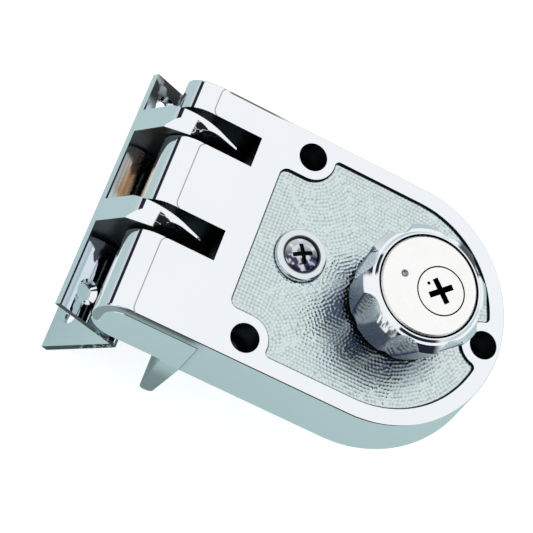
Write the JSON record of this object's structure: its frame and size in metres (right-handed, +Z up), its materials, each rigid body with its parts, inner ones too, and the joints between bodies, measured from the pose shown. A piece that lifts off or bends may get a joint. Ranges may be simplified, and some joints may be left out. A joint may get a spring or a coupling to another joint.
{
  "type": "interlocking rim deadlock",
  "caption": "Surface-mounted interlocking deadlock: a D-shaped case with a keyed turn knob, and an angled strike hooked into its rounded nose.",
  "frame": {"origin": "on the mounting face of the case, at the knob's axis", "axes": "+X from the nose towards the round end, -Y out of the front, +Y into the door, +Z up along the nose"},
  "size_m": [0.1131, 0.0665, 0.0724],
  "materials": {
    "bright_chrome": "mirror plated",
    "satin_chrome": "satin plated",
    "steel": "bright zinc plated",
    "brass": "turned"
  },
  "bodies": {
    "case": {"case_cover": "bright_chrome", "bolt_housing": "bright_chrome", "housing_screws": "steel", "back_plate": "steel", "back_plate_screws": "steel", "guide_post": "steel", "panel_screw_cup": "bright_chrome", "panel_screw": "bright_chrome", "knob_bush": "brass", "bush_ring": "steel", "detent_spring": "steel"},
    "bolt": {"bolt_carriage": "steel", "upper_prong": "steel", "lower_prong": "steel"},
    "knob": {"knob_grip": "bright_chrome", "lock_cylinder": "satin_chrome", "face_pin": "satin_chrome", "driver_pins": "brass", "pin_springs": "steel", "pin_covers": "brass", "knob_spindle": "brass", "spindle_screws": "steel", "hub_cam": "brass", "hub_screw": "steel", "crank_roller": "steel"},
    "plug": {"key_plug": "satin_chrome", "key_pins": "brass", "plug_clip": "steel", "lock_cam": "brass", "cam_screw": "steel"},
    "strike": {"strike_plate": "bright_chrome"}
  },
  "joints": [
    {"name": "knob_turn", "type": "hinge", "parent": "case", "child": "knob", "pos_m": [0, 0, 0], "axis": [0, -1, 0], "range_deg": [0, 90], "deforming": ["detent_spring"]},
    {"name": "bolt_slide", "type": "slide", "parent": "case", "child": "bolt", "axis": [0, 0, -1], "range_m": [0, 0.013]},
    {"name": "plug_turn", "type": "hinge", "parent": "knob", "child": "plug", "pos_m": [0.00325, 0, 0], "axis": [0, -1, 0], "range_deg": [0, 90]},
    {"name": "strike_swing", "type": "hinge", "parent": "case", "child": "strike", "pos_m": [-0.0646, -0.0084, 0], "axis": [0, 0, 1], "range_deg": [-30, 100]}
  ],
  "couplings": [
    {"joint": "bolt_slide", "follows": "knob_turn", "m_per_rad": 0.008276}
  ]
}
